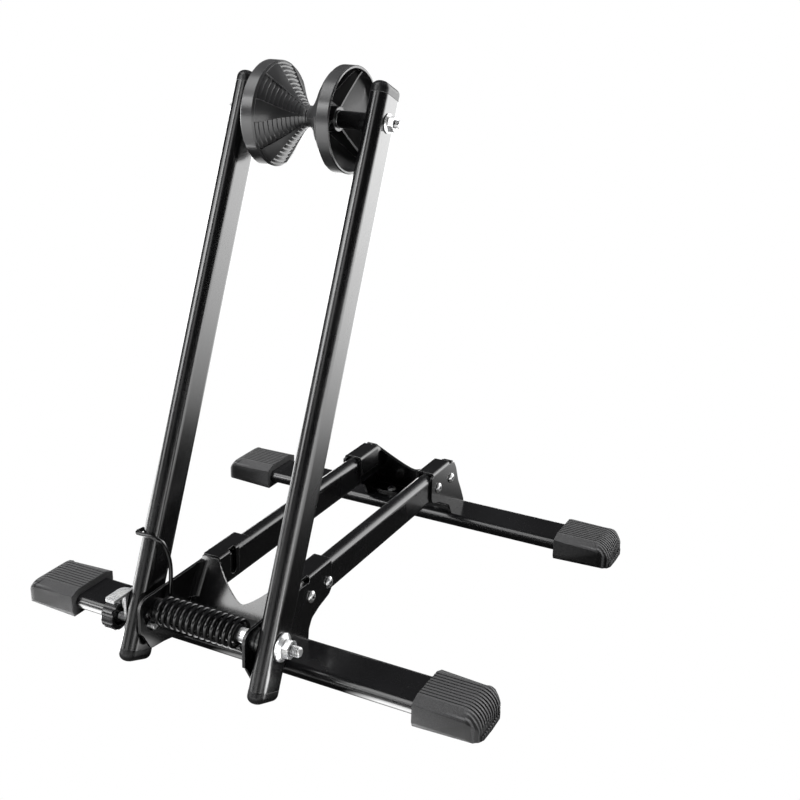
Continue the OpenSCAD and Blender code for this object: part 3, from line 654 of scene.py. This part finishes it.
def roundCorners(mesh, side, outer, middle, half, tall):
    radius = foot["round"]

    def fromCorner(co):
        return side * co.x - (outer - radius), abs(co.y - middle) - (half - radius)

    form = bmesh.new()
    form.from_mesh(mesh)
    for _ in range(foot["splits"]):
        long = [e for e in form.edges if e.calc_length() > foot["detail"]
                and all(min(fromCorner(v.co)) > -foot["margin"] for v in e.verts)]
        bmesh.ops.subdivide_edges(form, edges=long, cuts=1)
        bmesh.ops.triangulate(form, faces=[f for f in form.faces if len(f.verts) > 3])
    for v in form.verts:
        along, across = fromCorner(v.co)
        if min(along, across) <= 0:
            continue
        far = math.hypot(along, across)
        pull = min(1, radius / far)
        v.co.x = side * (outer - radius + along * pull)
        v.co.y = middle + math.copysign(half - radius + across * pull, v.co.y - middle)
        share = math.sin(2 * math.atan2(across, along))
        for ball, kind in ((foot["topBall"], -1), (foot["soleBall"], 1)):
            over = min(max(0, far * pull - radius + ball), ball)
            shift = (ball - math.sqrt(ball ** 2 - over ** 2)) * share
            v.co.z += kind * shift * (v.co.z / tall if kind < 0 else max(0, 1 - v.co.z / tall)) ** 2
    form.to_mesh(mesh)
    form.free()


def footPiece(name, node):
    source = nodes[node]
    mesh = source.data.copy()
    mesh.name = name
    mesh.transform(source.matrix_world)
    if "custom_normal" in mesh.attributes:
        mesh.attributes.remove(mesh.attributes["custom_normal"])
    low = [min(v.co[i] for v in mesh.vertices) for i in range(3)]
    high = [max(v.co[i] for v in mesh.vertices) for i in range(3)]
    side = 1 if high[0] > 0 else -1
    outer = high[0] if side > 0 else -low[0]
    middle = (low[1] + high[1]) / 2
    roundCorners(mesh, side, outer, middle, (high[1] - low[1]) / 2, high[2])
    mesh.set_sharp_from_angle(angle=sharpAngle)
    # coordinates of the painted highlight and shade on the ribs
    paintedLight = mesh.uv_layers.new(name="Wear")
    endRound = foot["endRound"]
    for loop in mesh.loops:
        x, y, z = mesh.vertices[loop.vertex_index].co
        # the angle on the way round from the top to the outer end
        turn = math.atan2(side * x - outer + endRound + foot["ribLightAhead"], max(z - high[2] + endRound, 1e-6))
        ribs = (y - middle) / foot["pitch"] + foot["ribsAside"]
        paintedLight.data[loop.index].uv = (ribs, max(turn, 0) / (math.pi / 2))
    piece = bpy.data.objects.new(name, mesh)
    bpy.context.collection.objects.link(piece)
    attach(piece, "base")
    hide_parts(node)


for end in ("front", "rear"):
    for hand in ("left", "right"):
        footPiece(end.title() + hand.title() + "RubberFoot", end + "_" + hand + "_foot")
print("rubber feet built")


# Rollers with stepped panels on a deep dish, an open back and three webs
roller = {
    "dish": ((0.0003, 0.0078), (0.003, 0.0090), (0.006, 0.0119), (0.009, 0.0154), (0.012, 0.0192),
             (0.015, 0.0232), (0.018, 0.0275), (0.021, 0.0318), (0.024, 0.0358), (0.0262, 0.0380)),
    "rim": 0.0383,
    "half": 0.036,
    "lip": 0.0362,
    "shell": 0.0026,
    "hub": 0.009,
    "hubEnd": 0.024,
    "bore": 0.0065,
    "panels": 6,
    "steps": 12,
    "slope": 0.62,              # share of a step's rise that its tread takes
    "stepFrom": 0.02,
    "stepTo": 0.93,
    "sink": 0.0004,             # the panels' corners lie this deep
    "panelHalf": (29.6, 16.5),  # half angle of a panel at the neck and at the rim
    "panelSlices": 12,
    "plainSlices": 4,
    "panelGap": 0.012,          # angle of the wall beside a panel, in radians
    "crisp": 30,                # an edge that turns more than this stays crisp, in degrees
    "raised": 0.0007,           # the plain surface between panels stands above their steps
    "webs": 3,
    "webThick": 0.0018,
    "webTop": ((0.0225, 0.0080), (0.0255, 0.017), (0.0290, 0.026), (0.0318, 0.033), (0.034, 0.0367)),
    "turn": {"left": -16.3, "right": 57.7},
}


def dishPoint(t, sink=0.0):
    table = roller["dish"]
    at = min(max(t, 0), 1) * (len(table) - 1)
    i = min(int(at), len(table) - 2)
    f = at - i
    (x0, r0), (x1, r1) = table[i], table[i + 1]
    xa, ra = table[max(i - 1, 0)]
    xb, rb = table[min(i + 2, len(table) - 1)]

    def curve(p, a, b, q):
        return 0.5 * (2 * a + (b - p) * f + (2 * p - 5 * a + 4 * b - q) * f * f
                      + (3 * a - p - 3 * b + q) * f ** 3)

    way = Vector((x1 - x0, r1 - r0)).normalized()
    return curve(xa, x0, x1, xb) + way.y * sink, curve(ra, r0, r1, rb) - way.x * sink


def rollerRings():
    # pairs of places along the dish: on a panel and beside it, each as X and radius
    first, last, count = roller["stepFrom"], roller["stepTo"], roller["steps"]
    sink, sliver = roller["sink"], 0.00005
    rings = [(dishPoint(0), dishPoint(0), 0.0)]
    for i in range(count):
        t0 = first + (last - first) * i / count
        t1 = first + (last - first) * (i + 1) / count
        (x0, r0), (x1, r1) = dishPoint(t0, sink), dishPoint(t1, sink)
        tread = r0 + (r1 - r0) * roller["slope"]
        for x, r, t in ((x0, r0, t0 + 0.001), (x1 - sliver, tread, (t0 + t1) / 2),
                        (x1, tread + sliver, t1 - 0.002)):
            lift = roller["raised"] * min(1, max(0, (t - 0.25) / 0.4))
            rings.append(((x, r), dishPoint(t, sink - lift), t))
    for t, deep in ((last + 0.002, 0.0001), (0.97, 0.0001), (1.0, 0)):
        rings.append((dishPoint(t, deep), dishPoint(t, deep), t))
    return rings


def rollerRows():
    # rows of (angle, place along the axis, radius) round the roller: the stepped side, then the back
    count, slices, between, gap = (roller[k] for k in ("panels", "panelSlices", "plainSlices", "panelGap"))
    low, high = roller["panelHalf"]
    pitch = math.pi / count
    rows = []
    for panel, plain, t in rollerRings():
        half = math.radians(low + (high - low) * min(1, max(0, t / 0.8)) ** 0.7)
        rest = 2 * pitch - 2 * half - 2 * gap
        row = []
        for k in range(count):
            middle = 2 * math.pi * (k + 0.5) / count
            row += [(middle - half + 2 * half * j / slices, *panel) for j in range(slices + 1)]
            row += [(middle + half + gap + rest * j / between, *plain) for j in range(between + 1)]
        rows.append(row)
    angles = [a for a, _, _ in rows[-1]]
    rim, half, lip, shell = roller["rim"], roller["half"], roller["lip"], roller["shell"]
    hub, hubEnd, bore = roller["hub"], roller["hubEnd"], roller["bore"]
    edge = dishPoint(1)[0]
    plain = [(edge + 0.0003, rim), (half - 0.0006, rim), (half, rim - 0.0006), (half, lip + 0.0003),
             (half - 0.0003, lip), (edge + 0.0022, lip)]
    plain += [dishPoint(t, shell) for t in (0.97, 0.9, 0.8, 0.7, 0.6, 0.5, 0.42, 0.35)]
    plain += [(dishPoint(0.35, shell)[0] + 0.0005, hub), (hubEnd - 0.0003, hub), (hubEnd, hub - 0.0004),
              (hubEnd, bore), (dishPoint(0)[0], bore)]
    return rows + [[(a, x, r) for a in angles] for x, r in plain]


def webMesh(a, sign, base):
    # a thin web from the hub to the rim, its vertices numbered from base
    out = Vector((0, -math.sin(a), math.cos(a)))
    across = Vector((0, math.cos(a), math.sin(a)))
    thick = roller["webThick"] / 2
    line = [dishPoint(t, roller["shell"] * 0.6) for t in (0.35, 0.5, 0.65, 0.8, 0.95)]
    outline = line + list(roller["webTop"])
    verts = [Vector((sign * x, 0, 0)) + out * r + across * w for w in (-thick, thick) for x, r in outline]
    low, n = len(line), len(outline)
    faces = []
    for i in range(base, base + low - 1):
        near = (i, i + 1, i + low + 1, i + low)
        far = tuple(v + n for v in near)[::-1]
        cap = (i + low, i + low + 1, i + n + low + 1, i + n + low)
        faces += [face if sign < 0 else face[::-1] for face in (near, far, cap)]
    return verts, faces


def rollerPiece(side):
    sign = -1 if side == "left" else 1
    rows = rollerRows()
    verts = [Vector((sign * x, -r * math.sin(a), r * math.cos(a))) for row in rows for a, x, r in row]
    faces = [face if sign > 0 else face[::-1] for face in bandFaces(len(rows), len(rows[0]), closed=True)]
    for k in range(roller["webs"]):
        web = webMesh(2 * math.pi * k / roller["webs"] + math.pi, sign, len(verts))
        verts += web[0]
        faces += web[1]
    # turned to its place at rest and moved to the roller bolt
    spin = Matrix.Rotation(math.radians(roller["turn"][side]) - lean, 3, "X")
    verts = [topCentre + spin @ v for v in verts]
    piece = meshObject(side.capitalize() + "StepRoller", verts, faces, "roller_plastic")
    piece.data.set_sharp_from_angle(angle=math.radians(roller["crisp"]))
    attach(piece, side + "_roller")
    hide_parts(side + "_roller")


for side in ("left", "right"):
    rollerPiece(side)
print("rollers shaped")


# Studio
studio = {
    "floorSize": 14.0,
    "floorDrop": 0.0004,
    "floorWhite": 1.0,
    "floorDiffuse": 0.2,
    # half width, half depth and middle along Y of the rack, and the floor's brightness in reflections
    # by distance beyond it in metres
    "footprint": (0.20, 0.19, 0.02),
    "mirroredFloor": ((0, 0.03), (0.04, 0.25), (0.18, 1.6), (0.55, 3.2), (1.2, 4.2), (2.2, 4.8)),
    # a bright strip in front of the bar, in reflections only: its brightness by place along Y,
    # and its share by distance from the middle along X, dark by the uprights
    "stripAlongY": ((-0.185, 0), (-0.165, 11.0), (-0.144, 11.0), (-0.136, 0)),
    "stripAcrossX": ((0, 0.25), (0.008, 0.25), (0.026, 0), (0.092, 0), (0.12, 1)),
    "skyForGloss": 0.03,
    "skyForDiffuse": 0.05,
}
lamps = {
    # name: width and height, power, place, target
    "KeyLeft": ((0.6, 1.0), 20.0, (-1.45, -0.95, 0.75), (0, -0.15, 0.2)),
    "KeyTop": ((0.9, 0.7), 30.0, (-0.70, -0.55, 1.45), (0, -0.1, 0.1)),
    "TopBack": ((0.9, 0.9), 46.0, (0.15, 0.45, 1.5), (0, -0.05, 0.05)),
    "RimBack": ((0.9, 0.8), 7.0, (0.75, 1.5, 0.75), (0, 0, 0.2)),
}
panels = {
    # soft boxes in reflections: azimuth from +Y towards +X, elevation, half width, half height,
    # soft edge, all in degrees, and brightness
    "BackPanel": (24, 8, 22, 15, 11, 3.6),
    "SidePanel": (-124, 20, 12, 4, 8, 3.6),
    "TopPanel": (-128, 57, 30, 13, 11, 3.8),
    "FrontPanel": (-139, 20, 7, 4, 7, 8.0),
    "LowPanel": (-176, 6, 13, 2, 8, 2.0),
    "NearPanel": (174, 34, 8, 7, 10, 2.4),
    "WallPanel": (-146, 29, 6, 4, 4, 9.0),
}


def emitter(name, size, power, at, target):
    lamp = bpy.data.lights.new(name, "AREA")
    lamp.shape = "RECTANGLE"
    lamp.size, lamp.size_y = size
    lamp.energy = power
    obj = bpy.data.objects.new(name, lamp)
    bpy.context.scene.collection.objects.link(obj)
    obj.location = at
    obj.rotation_euler = (Vector(target) - Vector(at)).to_track_quat("-Z", "Y").to_euler()
    obj.visible_glossy = False


def floorMirror(mat):
    # brightness of the floor in reflections
    spot = addNode(mat, "ShaderNodeTexCoord").outputs["Object"]
    axes = addNode(mat, "ShaderNodeSeparateXYZ", {0: spot}).outputs
    halfWide, halfDeep, middle = studio["footprint"]
    besideX = maths(mat, "ABSOLUTE", axes["X"])
    besideY = maths(mat, "ABSOLUTE", maths(mat, "SUBTRACT", axes["Y"], middle))
    most = 5   # metres beyond the footprint that are still told apart
    away = addNode(mat, "ShaderNodeCombineXYZ", {
        "X": mapRange(mat, besideX, halfWide, halfWide + most, 0, most),
        "Y": mapRange(mat, besideY, halfDeep, halfDeep + most, 0, most),
    }).outputs[0]
    beyond = addNode(mat, "ShaderNodeVectorMath", {0: away}, operation="LENGTH").outputs["Value"]
    strip = maths(mat, "MULTIPLY", steppedBy(mat, axes["Y"], studio["stripAlongY"]),
                  steppedBy(mat, besideX, studio["stripAcrossX"]))
    return maths(mat, "MAXIMUM", steppedBy(mat, beyond, studio["mirroredFloor"]), strip)


def makeFloor():
    half = studio["floorSize"] / 2
    mesh = bpy.data.meshes.new("StudioFloor")
    mesh.from_pydata([(-half, -half, 0), (half, -half, 0), (half, half, 0), (-half, half, 0)], [],
                     [(0, 1, 2, 3)])
    floor = bpy.data.objects.new("StudioFloor", mesh)
    floor.location = (0, 0, -studio["floorDrop"])
    bpy.context.scene.collection.objects.link(floor)
    mat = newMaterial("PaleFloor")
    plain = addNode(mat, "ShaderNodeBsdfDiffuse", {"Color": (*(studio["floorDiffuse"],) * 3, 1)})
    glossy = addNode(mat, "ShaderNodeEmission", {"Strength": floorMirror(mat)})
    seen = addNode(mat, "ShaderNodeEmission", {"Strength": studio["floorWhite"]})
    addNode(mat, "ShaderNodeOutputMaterial", {"Surface": byRay(mat, plain, glossy, seen)})
    mesh.materials.append(mat)


def makeWorld():
    world = emptyNodes(bpy.data.worlds.new("StudioSky"))
    bpy.context.scene.world = world

    def fade(angle, half, soft):
        # 1 inside the half angle, 0 beyond its soft edge
        size = maths(world, "ABSOLUTE", angle)
        return mapRange(world, size, half - soft / 2, half + soft, 1, 0, "SMOOTHSTEP")

    way = addNode(world, "ShaderNodeTexCoord").outputs["Generated"]
    height = maths(world, "ARCSINE", addNode(world, "ShaderNodeSeparateXYZ", {0: way}).outputs["Z"])
    total = studio["skyForGloss"]
    for *angles, bright in panels.values():
        azimuth, elevation, wide, high, soft = (math.radians(v) for v in angles)
        turned = addNode(world, "ShaderNodeVectorRotate", {"Vector": way, "Angle": azimuth},
                         rotation_type="Z_AXIS").outputs[0]
        axes = addNode(world, "ShaderNodeSeparateXYZ", {0: turned}).outputs
        across = maths(world, "ARCTAN2", axes["X"], axes["Y"])
        above = maths(world, "SUBTRACT", height, elevation)
        lit = maths(world, "MULTIPLY", fade(across, wide, soft), fade(above, high, soft))
        total = maths(world, "ADD", maths(world, "MULTIPLY", lit, bright), total)

    def background(strength):
        return addNode(world, "ShaderNodeBackground", {"Color": (1, 1, 1, 1), "Strength": strength})

    sky = byRay(world, background(studio["skyForDiffuse"]), background(total), background(1.0))
    addNode(world, "ShaderNodeOutputWorld", {"Surface": sky})


makeFloor()
makeWorld()
for name, lamp in lamps.items():
    emitter(name, *lamp)
print("studio lit")


# Camera at the photograph's viewpoint
shot = {
    "azimuth": 26.16,
    "elevation": 20.16,
    "roll": 1.70,
    "focalPixels": 1195.14,
    "framePixels": 800,
    "sensor": 36,
    "eye": (0.4547, -0.6722, 0.5083),   # measured from the front bar's middle
}


def makeCamera():
    az, el, roll = (math.radians(shot[k]) for k in ("azimuth", "elevation", "roll"))
    back = Vector((math.sin(az) * math.cos(el), -math.cos(az) * math.cos(el), math.sin(el)))
    level = Vector((math.cos(az), math.sin(az), 0))
    plumb = back.cross(level)
    right = level * math.cos(roll) + plumb * math.sin(roll)
    up = plumb * math.cos(roll) - level * math.sin(roll)
    eye = Vector(shot["eye"]) + Vector((0, place["shift"], 0))
    data = bpy.data.cameras.new("PhotoCamera")
    data.sensor_width = shot["sensor"]
    data.sensor_fit = "HORIZONTAL"
    data.lens = shot["focalPixels"] / shot["framePixels"] * shot["sensor"]
    data.clip_start = 0.01
    obj = bpy.data.objects.new("PhotoCamera", data)
    bpy.context.scene.collection.objects.link(obj)
    obj.matrix_world = Matrix(((right.x, up.x, back.x, eye.x), (right.y, up.y, back.y, eye.y),
                               (right.z, up.z, back.z, eye.z), (0, 0, 0, 1)))
    bpy.context.scene.camera = obj


makeCamera()
bpy.context.scene.view_settings.view_transform = "Standard"
print("camera placed")
